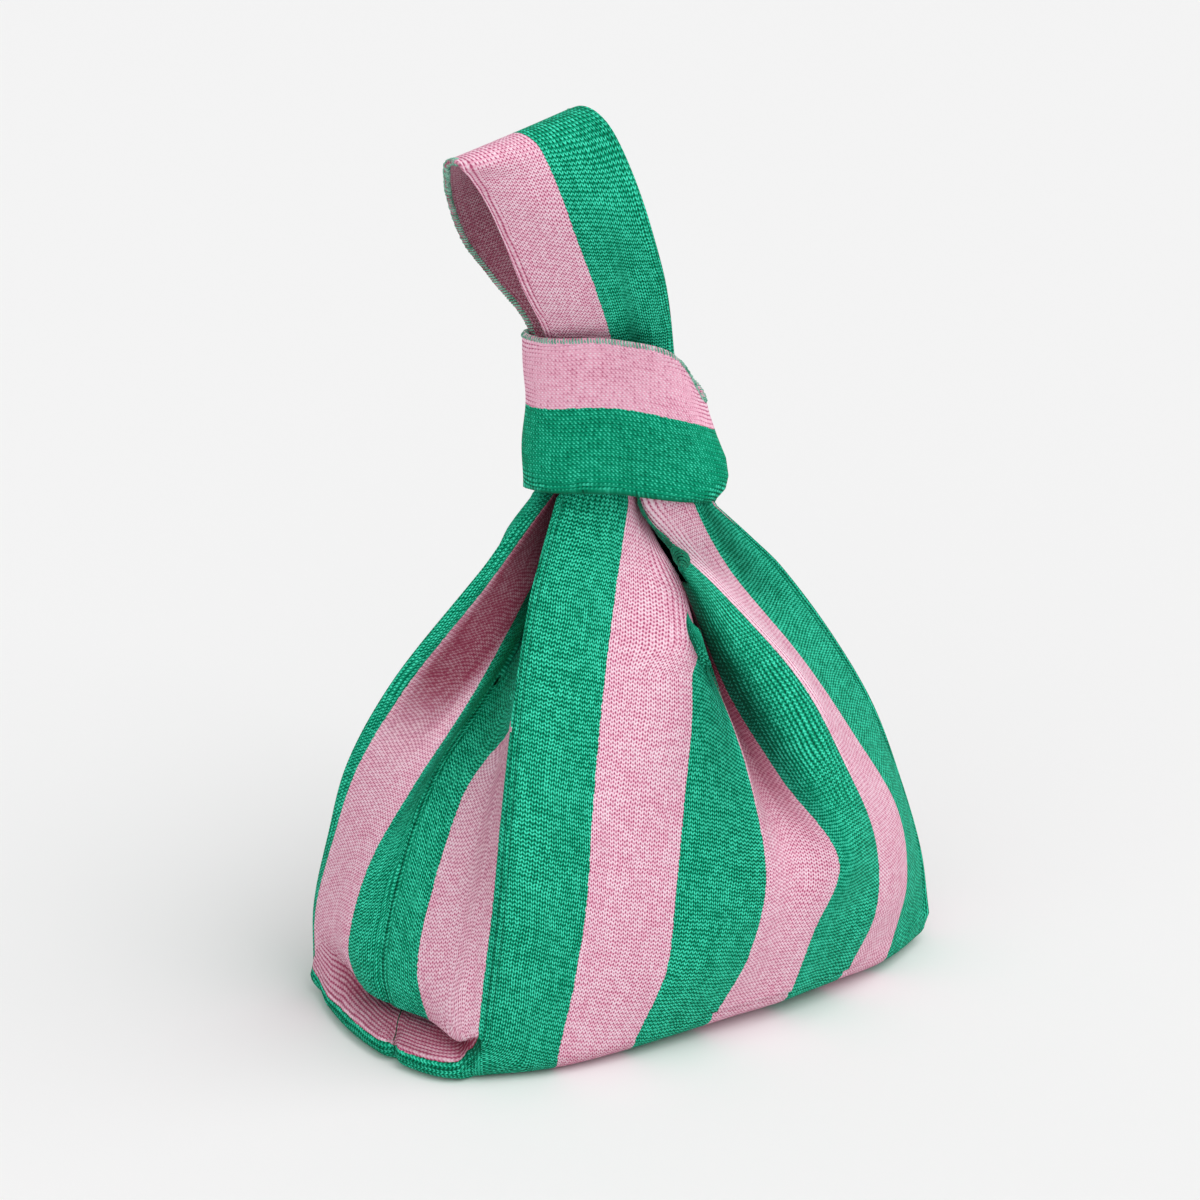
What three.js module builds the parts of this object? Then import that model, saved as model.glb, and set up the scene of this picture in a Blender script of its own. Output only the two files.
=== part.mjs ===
// Knitted knot bag. Millimetres, +Z up. X runs along the front from left to right, Y to the back.
// The body is a tube of twenty knitted stripes. It is sewn flat along the middle of the base, with
// its two sides folded in, and gathered at the neck. The left strap is wrapped round the neck as a
// collar, and the right strap stands up through it as the carrying loop.
import * as THREE from 'three';
import { mergeVertices } from 'three/addons/utils/BufferGeometryUtils.js';

// ---- driving dimensions ------------------------------------------------------------------
const CLOTH = 2.0;            // thickness of the knitted cloth
const STRAP_CLOTH = 2.2;      // the straps' knit is a little fuller
const SEAM_GAP = 0.7;         // between the two panels along a seam
const RIM_Z = 4.5;            // height at which the base's rim stands out furthest
const RIM_TOP_Z = 9.5;        // where the rim turns in over the side's tuck
const TUCK_Z = 12.5;          // bottom of the side walls, above the tuck
const FLAT_INSET = 7.0;       // the flat base ends this far inside the rim
const STRAP_TOP_Z = 217;      // the straps' stripes end inside the collar
const PINCH = 0.26;           // how much the collar draws the cloth in under its lower edge
const NECK = [-1, -1];        // middle of the neck
const PANEL_GRID = { perStripe: 4, rows: 15 };
const COLLAR_GRID = { around: 32, up: 6 };
const LOOP_GRID = { along: 36, across: 7 };

// The rib lines are numbered by stripes, from the front left crease (0) round to the right.
// Creases are folded sharp, and the other lines run smooth.
const CREASES = [0, 7, 10, 16.8];

// Where each rib line stands at a few heights: a row for each height, a column for each line.
// tuck is how far the right side is folded in, sink the depth of the front's middle fold, roll how
// far the fold to its right rolls over it.
const HEIGHTS = [
  { z: 4.5, backCrease: [-114, 54], backPink: [-114, 52], sidePinkBack: [-121, 12], sideSeam: [-119, -19], sidePinkFront: [-112, -36], frontCrease: [-99, -46],
    c1: [-74, -58], c2: [-44, -64], c3: [-11, -69], c4: [27, -72], c5: [55, -71], c6: [84, -67], rightCrease: [117, -52], backRight: [116, 52], tuck: -6, sink: 0, roll: 0 },
  { z: 12.5, backCrease: [-110, 57], backPink: [-112, 53], sidePinkBack: [-104, 24], sideSeam: [-102, 4], sidePinkFront: [-96, -13], frontCrease: [-101, -47],
    c1: [-72, -59], c2: [-40, -67], c3: [-6, -72], c4: [29, -76], c5: [62, -74], c6: [92, -64], rightCrease: [120, -51], backRight: [117, 54], tuck: 10, sink: 0, roll: 0 },
  { z: 38, backCrease: [-110, 56], backPink: [-112, 51], sidePinkBack: [-113, 22], sideSeam: [-107, 7], sidePinkFront: [-102, -9], frontCrease: [-95, -44],
    c1: [-64, -58], c2: [-31, -72], c3: [2, -81], c4: [38, -84], c5: [67, -80], c6: [94, -66], rightCrease: [117, -46], backRight: [114, 52], tuck: 2, sink: 2, roll: 1 },
  { z: 70, backCrease: [-108, 48], backPink: [-108, 43], sidePinkBack: [-109, 16], sideSeam: [-100, 6], sidePinkFront: [-94, -8], frontCrease: [-89, -42],
    c1: [-56, -55], c2: [-25, -70], c3: [6, -86], c4: [39, -84], c5: [64, -80], c6: [90, -64], rightCrease: [111, -41], backRight: [107, 47], tuck: 8, sink: 6, roll: 3 },
  { z: 104, backCrease: [-103, 40], backPink: [-100, 35], sidePinkBack: [-94, 6], sideSeam: [-83, 6], sidePinkFront: [-79, -6], frontCrease: [-82, -37],
    c1: [-48, -48], c2: [-16, -63], c3: [2, -84], c4: [25, -70], c5: [54, -73], c6: [74, -54], rightCrease: [99, -37], backRight: [97, 42], tuck: 18, sink: 12, roll: 5 },
  { z: 138, backCrease: [-88, 30], backPink: [-82, 25], sidePinkBack: [-71, -1], sideSeam: [-57, 2], sidePinkFront: [-60, -6], frontCrease: [-70, -26],
    c1: [-36, -37], c2: [-5, -53], c3: [-1, -70], c4: [13, -50], c5: [41, -60], c6: [55, -44], rightCrease: [80, -33], backRight: [82, 34], tuck: 26, sink: 14, roll: 5 },
  { z: 172, backCrease: [-61, 20], backPink: [-55, 15], sidePinkBack: [-42, 2], sideSeam: [-30, 5], sidePinkFront: [-36, 1], frontCrease: [-50, -8],
    c1: [-20, -23], c2: [8, -31], c3: [16, -22], c4: [8, -37], c5: [22, -33], c6: [34, -34], rightCrease: [55, -32], backRight: [56, 22], tuck: 26, sink: 6, roll: 4 },
  { z: 204, backCrease: [-31, 20], backPink: [-25, 17], sidePinkBack: [-16, 13], sideSeam: [-8, 9], sidePinkFront: [-14, 6], frontCrease: [-24, 10],
    c1: [-3, -9], c2: [8, -6], c3: [9, -4], c4: [8, -10], c5: [0, -14], c6: [17, -28], rightCrease: [24, -29], backRight: [26, -9], tuck: 12, sink: 2, roll: 1 },
];

// How high the cloth reaches along each rib line: the straps go up into the collar, the neckline
// dips between them in front and behind, and the armholes dip at the sides.
const TOP_EDGE = [
  { at: -1.5, z: 190 }, { at: -0.5, z: 207 }, { at: 0, z: STRAP_TOP_Z }, { at: 2, z: STRAP_TOP_Z }, { at: 2.6, z: 196 },
  { at: 3.5, z: 168 }, { at: 4.4, z: 186 }, { at: 5, z: 205 }, { at: 5.3, z: STRAP_TOP_Z }, { at: 7, z: STRAP_TOP_Z },
  { at: 7.6, z: 207 }, { at: 8.5, z: 190 }, { at: 9.4, z: 207 }, { at: 10, z: STRAP_TOP_Z }, { at: 12, z: STRAP_TOP_Z },
  { at: 12.6, z: 198 }, { at: 13.5, z: 172 }, { at: 14.4, z: 198 }, { at: 15, z: STRAP_TOP_Z }, { at: 16.8, z: STRAP_TOP_Z },
  { at: 17.5, z: 207 }, { at: 18.5, z: 190 },
];

// The collar: along and out are measured on the line across the neck at mid height, out towards the
// back. bottom and top are the band's edges, and lean is how much further along its bottom stands
// than its top.
const COLLAR_TURN = -43;      // degrees, the direction of the collar's long axis in plan
const COLLAR = [
  { place: 'left fold', along: -38, out: 3, bottom: 206, top: 268, lean: 0 },
  { place: 'front left', along: -27, out: -10.5, bottom: 208, top: 270, lean: 0 },
  { place: 'front middle', along: 0, out: -15, bottom: 210, top: 272, lean: 1 },
  { place: 'front right', along: 25, out: -11.5, bottom: 207, top: 267, lean: 6 },
  { place: 'right fold', along: 35, out: 1, bottom: 204, top: 257, lean: 11 },
  { place: 'back right', along: 27, out: 15, bottom: 206, top: 251, lean: 4 },
  { place: 'back middle', along: 0, out: 18, bottom: 206, top: 262, lean: 0 },
  { place: 'back left', along: -26, out: 14.5, bottom: 206, top: 267, lean: 0 },
];

// The carrying loop: its left and right edges from the front foot over the top to the back foot.
// bow is how far the middle of the band stands out.
const LOOP = [
  { place: 'front foot', left: [-19, 14, 223], right: [15, -17, 223], bow: 1 },
  { place: 'front at the collar', left: [-21.6, 16.1, 265], right: [12.6, -14.5, 265], bow: 3 },
  { place: 'front low', left: [-40, 8, 296.5], right: [5.8, -19, 292], bow: 3 },
  { place: 'front middle', left: [-51.5, 9.5, 325], right: [-3.7, -21.5, 318], bow: 4 },
  { place: 'front high', left: [-61.5, 8.5, 340], right: [-7.2, -14.3, 338], bow: 2 },
  { place: 'over the front', left: [-69, 6.5, 345.5], right: [-9.5, -5, 352], bow: 0 },
  { place: 'top', left: [-71.5, 12, 345], right: [-12, 5, 356.5], bow: -1 },
  { place: 'over the back', left: [-66, 20, 338], right: [-12, 17, 352], bow: 0 },
  { place: 'back high', left: [-55, 33, 324], right: [-6, 27, 337], bow: 2 },
  { place: 'back middle', left: [-45, 38, 305], right: [3, 25, 316], bow: 3 },
  { place: 'back low', left: [-34, 36, 289], right: [12, 12, 292], bow: 2 },
  { place: 'back at the collar', left: [-20.5, 24.5, 268], right: [17, -2, 267], bow: 1 },
  { place: 'back foot', left: [-15, 20, 223], right: [19, -7, 223], bow: 0 },
];

// ---- small helpers -------------------------------------------------------------------------
const mix = (a, b, t) => a + (b - a) * t;
const mixPoint = (a, b, t) => a.map((v, i) => mix(v, b[i], t));
const clamp = (v, lo, hi) => Math.min(hi, Math.max(lo, v));
const smooth = t => { const c = clamp(t, 0, 1); return c * c * (3 - 2 * c); };

// A smooth curve through numbers or points given at knots. corners lists knots where it may turn
// sharply, and period makes it a closed round.
function through(knots, values, at, { corners = [], period = 0 } = {}) {
  const n = knots.length;
  let t = at;
  if (period) t = knots[0] + ((((at - knots[0]) % period) + period) % period);
  const knot = i => (period ? knots[((i % n) + n) % n] + Math.floor(i / n) * period : knots[clamp(i, 0, n - 1)]);
  const value = i => { const v = values[period ? ((i % n) + n) % n : clamp(i, 0, n - 1)]; return Array.isArray(v) ? v : [v]; };
  let i = 0;
  while (i < (period ? n - 1 : n - 2) && knot(i + 1) <= t) i++;
  const slope = (j, side) => {
    const sharp = corners.some(c => Math.abs(((knot(j) - c) % (period || 1e9)) % (period || 1e9)) < 1e-6 || (period && Math.abs(Math.abs(knot(j) - c) - period) < 1e-6));
    let a = j - 1, b = j + 1;
    if (sharp) { if (side > 0) a = j; else b = j; }
    if (!period) { a = Math.max(a, 0); b = Math.min(b, n - 1); }
    const va = value(a), vb = value(b), d = knot(b) - knot(a);
    return va.map((v, k) => (vb[k] - v) / d);
  };
  const h = knot(i + 1) - knot(i), s = clamp((t - knot(i)) / h, 0, 1);
  const p = value(i), q = value(i + 1), mp = slope(i, 1), mq = slope(i + 1, -1);
  const s2 = s * s, s3 = s2 * s;
  return p.map((v, k) => (2 * s3 - 3 * s2 + 1) * v + (s3 - 2 * s2 + s) * h * mp[k] + (-2 * s3 + 3 * s2) * q[k] + (s3 - s2) * h * mq[k]);
}

// ---- the body --------------------------------------------------------------------------------
// All rib lines of one height, in order round the bag, with those of the right side and the back
// worked out from the front's.
function ribLines(row) {
  const r = row;
  const rightSeam = [(r.rightCrease[0] + r.backRight[0]) / 2 - r.tuck, (r.rightCrease[1] + r.backRight[1]) / 2];
  const side = (crease, t, out) => { const p = mixPoint(rightSeam, crease, t); return [p[0] + out, p[1]]; };
  const valley = mixPoint(r.c3, r.c4, 0.5), rollMid = mixPoint(r.c4, r.c5, 0.45);
  const lines = [
    [0, r.frontCrease], [1, r.c1], [2, r.c2], [3, r.c3],
    [3.5, [valley[0] + 0.35 * r.sink, valley[1] + r.sink]], [4, r.c4],
    [4.5, [rollMid[0] - 0.5 * r.roll, rollMid[1] - r.roll]], [5, r.c5], [6, r.c6], [7, r.rightCrease],
    [8, side(r.rightCrease, 0.36, 3)], [8.5, rightSeam], [9, side(r.backRight, 0.36, 3)], [10, r.backRight],
  ];
  // The back is flatter than the front, with a shallower middle fold.
  const front = [r.c6, r.c5, r.c4, r.c3, r.c2, r.c1];
  front.forEach((p, k) => {
    const t = (k + 1) / 7;
    const chordFront = mixPoint(r.rightCrease, r.frontCrease, t), chordBack = mixPoint(r.backRight, r.backCrease, t);
    const bulge = Math.max(0, chordFront[1] - p[1]);
    const even = mix(p[0], chordBack[0], 0.55);
    const full = Math.sin(Math.PI * t) * (0.2 * Math.min(40, row.z * 0.25) * smooth((200 - row.z) / 60) + 5 * smooth((row.z - 150) / 50));
    lines.push([11 + k, [even, chordBack[1] + 0.55 * bulge + full]]);
  });
  lines.push([16.8, r.backCrease], [17, r.backPink], [18, r.sidePinkBack], [18.5, r.sideSeam], [19, r.sidePinkFront]);
  return lines.sort((a, b) => a[0] - b[0]);
}
const LINES = HEIGHTS.map(ribLines);
const KNOTS = LINES[0].map(l => l[0]);
const RIM = LINES[0].map(l => l[1]);
const WALLS = HEIGHTS.slice(1);
const WALL_LINES = LINES.slice(1);

const isSide = u => { const v = ((u % 20) + 20) % 20; return Math.max(smooth((v - 16.9) / 0.5) * smooth((20 - v) / 0.5), smooth((v - 7) / 0.5) * smooth((10 - v) / 0.5)); };

function rimAt(u) { return through(KNOTS, RIM, u, { corners: CREASES, period: 20 }); }

function wallAt(u, z) {
  const zc = clamp(z, WALLS[0].z, WALLS[WALLS.length - 1].z);
  const lines = KNOTS.map((_, k) => through(WALLS.map(w => w.z), WALL_LINES.map(l => l[k][1]), zc));
  const p = through(KNOTS, lines, u, { corners: CREASES, period: 20 });
  const s = 1 - PINCH * smooth((z - 198) / 10);
  return [NECK[0] + (p[0] - NECK[0]) * s, NECK[1] + (p[1] - NECK[1]) * s];
}

const topAt = u => {
  const v = ((((u + 1.5) % 20) + 20) % 20) - 1.5;
  const rows = TOP_EDGE;
  let i = 0;
  while (i < rows.length - 2 && rows[i + 1].at <= v) i++;
  return mix(rows[i].z, rows[i + 1].z, smooth((v - rows[i].at) / (rows[i + 1].at - rows[i].at)));
};

// The middle line of the base, where the panels are sewn together, is slightly askew like the
// seams at its two ends.
const baseSeamY = x => mix(-17, 2, (x + 119) / 243);

// The outer face of the body. u counts stripes, and w runs from the base's middle seam (0) over the
// rim (2), the tuck (4) and the wall to the top edge (5). half is -1 in front and 1 behind.
function bodyPoint(u, w, half) {
  const rim = rimAt(u);
  const seamX = rim[0] * 0.88, seamY = baseSeamY(rim[0]) + (half * SEAM_GAP) / 2;
  const inset = clamp(FLAT_INSET, 0, 30);
  const flatEdge = [rim[0] * (1 - inset / 118), mix(rim[1], baseSeamY(rim[0]), inset / 62)];
  if (w <= 1) return [mix(seamX, flatEdge[0], w), mix(seamY, flatEdge[1], w), 0];
  if (w <= 2) {
    const a = ((w - 1) * Math.PI) / 2;
    return [mix(flatEdge[0], rim[0], Math.sin(a)), mix(flatEdge[1], rim[1], Math.sin(a)), RIM_Z * (1 - Math.cos(a))];
  }
  const side = isSide(u), foot = wallAt(u, TUCK_Z);
  if (w <= 4) {
    const t = (w - 2) / 2;
    const z = mix(mix(RIM_Z, TUCK_Z, t), w <= 3 ? mix(RIM_Z, RIM_TOP_Z, w - 2) : mix(RIM_TOP_Z, TUCK_Z, w - 3), side);
    const turn = mix(t, w <= 3 ? 0.1 * (w - 2) : mix(0.1, 1, w - 3), side);
    return [mix(rim[0], foot[0], turn), mix(rim[1], foot[1], turn), z];
  }
  const z = mix(TUCK_Z, topAt(u), w - 4);
  return [...wallAt(u, z), z];
}

// A sheet of cloth from its outer face: at(i, j) over a grid, thickened inwards. closed joins the
// last column to the first.
function sheet(columns, rows, at, normalAt, thick, closed = false) {
  const outer = [], inner = [];
  for (let i = 0; i < columns; i++) for (let j = 0; j < rows; j++) {
    const p = at(i, j), n = normalAt(i, j);
    outer.push(p);
    inner.push([p[0] - n[0] * thick, p[1] - n[1] * thick, p[2] - n[2] * thick]);
  }
  const points = [...outer, ...inner], faces = [], shift = outer.length;
  const id = (i, j, side) => (closed ? i % columns : i) * rows + j + side * shift;
  const quad = (a, b, c, d) => faces.push([a, b, c], [a, c, d]);
  const last = closed ? columns : columns - 1;
  for (let i = 0; i < last; i++) for (let j = 0; j < rows - 1; j++) {
    quad(id(i, j, 0), id(i + 1, j, 0), id(i + 1, j + 1, 0), id(i, j + 1, 0));
    quad(id(i, j, 1), id(i, j + 1, 1), id(i + 1, j + 1, 1), id(i + 1, j, 1));
  }
  for (let i = 0; i < last; i++) {
    quad(id(i, 0, 0), id(i, 0, 1), id(i + 1, 0, 1), id(i + 1, 0, 0));
    quad(id(i, rows - 1, 0), id(i + 1, rows - 1, 0), id(i + 1, rows - 1, 1), id(i, rows - 1, 1));
  }
  if (!closed) for (let j = 0; j < rows - 1; j++) {
    quad(id(0, j, 0), id(0, j + 1, 0), id(0, j + 1, 1), id(0, j, 1));
    quad(id(last, j, 0), id(last, j, 1), id(last, j + 1, 1), id(last, j + 1, 0));
  }
  const geometry = new THREE.BufferGeometry();
  geometry.setAttribute('position', new THREE.BufferAttribute(new Float32Array(faces.flat().flatMap(k => points[k])), 3));
  const merged = mergeVertices(geometry, 1e-4);
  merged.computeVertexNormals();
  return merged;
}

// The unit normal of a face given by f(u, w), from steps each way.
function normalOf(f, u, w, du, dw) {
  const a = new THREE.Vector3(...f(u + du, w)).sub(new THREE.Vector3(...f(u - du, w)));
  const b = new THREE.Vector3(...f(u, w + dw)).sub(new THREE.Vector3(...f(u, w - dw)));
  return a.cross(b).normalize().toArray();
}

function panel(half) {
  const from = half < 0 ? -1.5 : 8.5, to = half < 0 ? 8.5 : 18.5;
  const steps = Math.round((to - from) * PANEL_GRID.perStripe);
  const us = [];
  for (let i = 0; i <= steps; i++) us.push(mix(from, to, i / steps));
  // A column stands exactly on every crease.
  for (const c of [0, 7, 10, 16.8]) {
    let best = 0;
    us.forEach((u, i) => { if (Math.abs(u - c) < Math.abs(us[best] - c)) best = i; });
    if (Math.abs(us[best] - c) < 0.3) us[best] = c;
  }
  const ws = [0, 0.5, 1, 1.5, 2, 2.5, 3, 3.4, 4];
  for (let j = 1; j <= PANEL_GRID.rows; j++) ws.push(4 + j / PANEL_GRID.rows);
  const f = (u, w) => bodyPoint(u, w, half);
  const normal = (u, w) => {
    if (w < 0.75) return [0, 0, -1];
    const wc = clamp(w, 0.02, 4.98);
    return normalOf(f, u, wc, 0.03, 0.02);
  };
  // The first and last columns stand back from the side seams by half the gap, and by more where
  // the seam runs aslant over the tuck or lies deep in the fold near the neck.
  const place = (i, w) => {
    const end = i === 0 ? 1 : i === us.length - 1 ? -1 : 0;
    if (!end) return us[i];
    const a = f(us[i] - 0.05, w), b = f(us[i] + 0.05, w);
    const speed = Math.hypot(a[0] - b[0], a[1] - b[1], a[2] - b[2]) / 0.1;
    const more = 1 + 2 * smooth((w - 2.4) / 0.5) * smooth((4.2 - w) / 0.15) + smooth((w - 4.6) / 0.2);
    return us[i] + (end * more * SEAM_GAP) / 2 / Math.max(speed, 8);
  };
  return sheet(us.length, ws.length, (i, j) => f(place(i, ws[j]), ws[j]), (i, j) => normal(place(i, ws[j]), ws[j]), CLOTH);
}

// ---- the collar --------------------------------------------------------------------------------
function collarPoint(a, h) {
  const n = COLLAR.length, knots = COLLAR.map((_, k) => k);
  const [along, out, bottom, top, lean] = through(knots, COLLAR.map(r => [r.along, r.out, r.bottom, r.top, r.lean]), a, { period: n });
  const turn = THREE.MathUtils.degToRad(COLLAR_TURN), c = Math.cos(turn), s = Math.sin(turn);
  // The band stands a little fuller near its lower edge.
  const full = 1 + 0.035 * Math.sin(Math.PI * clamp(1 - h, 0, 1) * 0.9);
  const al = along + lean * (0.5 - h) , o = out * full;
  return [NECK[0] + al * c - o * s, NECK[1] + al * s + o * c, mix(bottom, top, h)];
}

// ---- the carrying loop ---------------------------------------------------------------------------
function loopPoint(t, v) {
  const n = LOOP.length, knots = LOOP.map((_, k) => k);
  const row = through(knots, LOOP.map(r => [...r.left, ...r.right, r.bow]), t * (n - 1));
  const left = row.slice(0, 3), right = row.slice(3, 6), bow = row[6];
  const p = mixPoint(left, right, v);
  const arch = 4 * v * (1 - v) * bow;
  const width = new THREE.Vector3(right[0] - left[0], right[1] - left[1], 0).normalize();
  const side = t < 0.5 ? -1 : 1;
  const fade = smooth(Math.abs(t - 0.5) / 0.12);
  return [p[0] - side * width.y * arch * fade, p[1] + side * width.x * arch * fade, p[2]];
}

// ---- the object ------------------------------------------------------------------------------------
const cloth = (name, geometry, colour, roughness) => {
  const mesh = new THREE.Mesh(geometry, new THREE.MeshStandardMaterial({ color: colour, roughness, metalness: 0 }));
  mesh.name = name;
  return mesh;
};

const bag = new THREE.Group();
bag.name = 'knot_bag';
bag.add(cloth('front_panel', panel(-1), 0x12a06e, 0.85));
bag.add(cloth('back_panel', panel(1), 0xe79ac0, 0.85));

const collarRound = i => (i / COLLAR_GRID.around) * COLLAR.length;
bag.add(cloth('short_loop', sheet(COLLAR_GRID.around, COLLAR_GRID.up + 1,
  (i, j) => collarPoint(collarRound(i), j / COLLAR_GRID.up),
  (i, j) => normalOf(collarPoint, collarRound(i), clamp(j / COLLAR_GRID.up, 0.02, 0.98), 0.08, 0.02),
  STRAP_CLOTH, true), 0x129a69, 0.8));

bag.add(cloth('long_loop', sheet(LOOP_GRID.along + 1, LOOP_GRID.across + 1,
  (i, j) => loopPoint(i / LOOP_GRID.along, j / LOOP_GRID.across),
  (i, j) => normalOf((t, v) => loopPoint(t, v), clamp(i / LOOP_GRID.along, 0.01, 0.99), clamp(j / LOOP_GRID.across, 0.02, 0.98), 0.01, 0.02),
  STRAP_CLOTH), 0xec9fc4, 0.8));

// The origin is the middle of the bag's plan, on the surface that it stands on.
const size = new THREE.Box3().setFromObject(bag), middle = size.getCenter(new THREE.Vector3());
for (const mesh of bag.children) mesh.position.set(-middle.x, -middle.y, -size.min.z);

export default bag;
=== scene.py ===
# Knitted knot bag: the looks. Metres, +Z up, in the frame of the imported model.
# The body is a tube of twenty knitted stripes. Places on it are numbered by stripes u, from the front
# left crease (0) round to the right, and by w from the base's middle seam up to the top edge.
import math

import bpy
import numpy as np
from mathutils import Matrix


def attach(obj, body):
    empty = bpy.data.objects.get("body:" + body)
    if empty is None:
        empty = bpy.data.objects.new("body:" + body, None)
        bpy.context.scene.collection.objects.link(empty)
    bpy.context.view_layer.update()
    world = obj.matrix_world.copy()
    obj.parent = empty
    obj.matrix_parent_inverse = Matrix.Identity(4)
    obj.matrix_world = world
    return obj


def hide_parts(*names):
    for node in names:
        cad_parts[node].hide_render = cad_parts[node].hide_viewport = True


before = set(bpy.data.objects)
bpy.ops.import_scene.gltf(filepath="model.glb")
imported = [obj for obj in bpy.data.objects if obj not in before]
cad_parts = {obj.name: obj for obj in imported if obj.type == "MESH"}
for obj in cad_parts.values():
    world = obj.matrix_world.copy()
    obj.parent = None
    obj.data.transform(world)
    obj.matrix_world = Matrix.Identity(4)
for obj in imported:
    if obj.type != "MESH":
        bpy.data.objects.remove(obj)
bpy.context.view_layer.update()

# ---- the bag's own sizes, in millimetres -----------------------------------------------------
SHIFT = np.array([-1.26, 4.475, 0.0])  # from the tables' frame to the part's
STRIPE = 35.0  # width of a stripe
WALE = 1.75  # width of one column of stitches
COURSE = 1.62  # height of one row of stitches
RIB = 2.18  # width of a rib where the cloth is drawn tight
CLOTH = 1.9
STRAP_CLOTH = 2.0
SEAM_GAP = 0.5
RIM_Z = 4.5
RIM_TOP_Z = 9.5
TUCK_Z = 12.5
FLAT_INSET = 7.0
CORNER_RISE = 6.0  # mm by which the green rim climbs at the front left corner
FRONT_RIM_Z = 8.5  # the front and the back roll under further than the sides
FRONT_INSET = 13.0
STRAP_TOP_Z = 217
PINCH = 0.26
NECK = np.array([-1.0, -1.0])
CREASES = (0, 7, 10, 16.8)
COLLAR_TURN = -43

COLUMNS = ("z", "backCrease", "backPink", "sidePinkBack", "sideSeam", "sidePinkFront", "frontCrease",
           "c1", "c2", "c3", "c4", "c5", "c6", "rightCrease", "backRight", "tuck", "sink", "roll")
HEIGHTS = [
    (4.5, (-114, 54), (-114.5, 50), (-121, 14), (-120, -13.5), (-113, -34), (-99, -46),
     (-74, -58), (-44, -64), (-11, -69), (26, -72), (50, -72), (76, -72), (113, -58), (116, 52), -6, 0, 0),
    (12.5, (-110, 57), (-112, 53), (-104, 24), (-102, 4), (-96, -13), (-101, -47),
     (-72, -59), (-40, -67), (-6, -72), (28, -76), (58, -75), (85, -69), (116, -57), (117, 54), 10, 0, 0),
    (38, (-110, 56), (-112, 51), (-113, 22), (-107, 7), (-102, -9), (-95, -44),
     (-64, -58), (-31, -72), (2, -81), (34, -81), (67, -80), (93, -68), (117, -49), (114, 52), 2, 2, 1),
    (70, (-108, 48), (-108, 43), (-109, 16), (-100, 7), (-93, -7), (-89, -42),
     (-56, -55), (-25, -70), (6, -86), (42, -86), (66, -79), (90, -64), (111, -41), (107, 47), 8, 8, 4),
    (104, (-103, 40), (-100, 35), (-94, 6), (-81, 10), (-74, -2), (-82, -37),
     (-48, -48), (-16, -63), (2, -84), (25, -70), (54, -73), (74, -54), (99, -37), (97, 42), 18, 17, 7),
    (138, (-88, 30), (-82, 25), (-67, 3), (-49, 12), (-48, 6), (-70, -26),
     (-36, -37), (-5, -53), (-1, -70), (13, -50), (41, -60), (55, -44), (80, -33), (82, 34), 26, 19, 8),
    (172, (-61, 20), (-55, 15), (-34, 11), (-22, 13), (-27, 9), (-50, -8),
     (-20, -23), (7.4, -30.1), (8.4, -20), (7.2, -36.4), (21.5, -32.6), (32, -32.5), (55, -32), (56, 22), 26, 9, 5),
    (188, (-41.9, 18.5), (-36.8, 15.7), (-22, 13.7), (-13.4, 13.1), (-19.6, 9.6), (-37.5, 0.9),
     (-11.6, -16.1), (5.7, -16.3), (6.2, -8.1), (4.6, -22.3), (8.9, -21.3), (22.9, -29), (40, -30.6), (41.4, 7.8), 19.9, 5.3, 3.1),
    (204, (-21, 18), (-17, 18), (-11, 16), (-6, 13), (-13, 10), (-24, 10),
     (-3, -9), (4, -3.1), (6, -2), (5.2, -8), (-2.8, -12), (15.5, -27), (24, -29), (26, -9), 12, 2, 1),
]
HEIGHTS = [dict(zip(COLUMNS, row)) for row in HEIGHTS]

# (at, z): how high the cloth reaches along each rib line
TOP_EDGE = [
    (-1.5, 206), (-0.5, 212), (0, STRAP_TOP_Z), (2, STRAP_TOP_Z), (2.6, 196), (3.5, 168), (4.1, 176), (4.5, 183),
    (4.88, 184), (5.03, 199), (5.2, STRAP_TOP_Z), (7, STRAP_TOP_Z), (7.6, 212), (8.5, 206), (9.4, 212), (10, STRAP_TOP_Z), (12, STRAP_TOP_Z),
    (12.6, 200), (13.5, 182), (14.4, 200), (15, STRAP_TOP_Z), (16.8, STRAP_TOP_Z), (17.5, 212), (18.5, 206),
]

# (along, out, bottom, top, lean, where the two colours meet) of the collar: left fold, front left, front
# middle, front right, right fold, back right, back middle, back left
COLLAR = [
    (-38, 3, 206, 268, 0, 240), (-27, -10.5, 208, 270, 0, 242.5), (0, -15, 210, 272, 1, 245.5), (25, -11.5, 207, 266, 6, 241),
    (34, 1, 204, 245, 11, 233), (27, 15, 206, 248, 4, 231), (0, 18, 206, 262, 0, 236), (-26, 14.5, 206, 267, 0, 238.6),
]
# (height, mm out) by which the collar's right fold swells and draws in
COLLAR_FOLD = [(200, -5), (205, -2.5), (209, 1.5), (214, 3.4), (221, 3.6), (229, 1.6), (237, 0), (246, -1.2), (262, 0)]

# (left edge, right edge, bow) of the carrying loop, from its front foot over the top to its back foot
LOOP = [
    ((-19, 14, 223), (15, -17, 223), 1),
    ((-21.6, 16.1, 265), (12.6, -14.5, 265), 3),
    ((-40, 8, 296.5), (5.8, -19, 292), 3),
    ((-51.5, 9.5, 325), (-3.7, -21.5, 318), 4),
    ((-61.5, 8.5, 340), (-7.2, -14.3, 338), 2),
    ((-67.2, 5.2, 344.8), (-9.5, -5, 352), 0),
    ((-69.2, 10.4, 345), (-12, 5, 356.8), -1),
    ((-65.4, 19.3, 339.3), (-12, 17, 352), 0),
    ((-55, 33, 324), (-6, 27, 337), 2),
    ((-45, 38, 305), (3, 25, 316), 3),
    ((-34, 36, 289), (12, 12, 292), 2),
    ((-23, 26, 268), (17, -2, 267), 1),
    ((-15, 20, 223), (19, -7, 223), 0),
]


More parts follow.
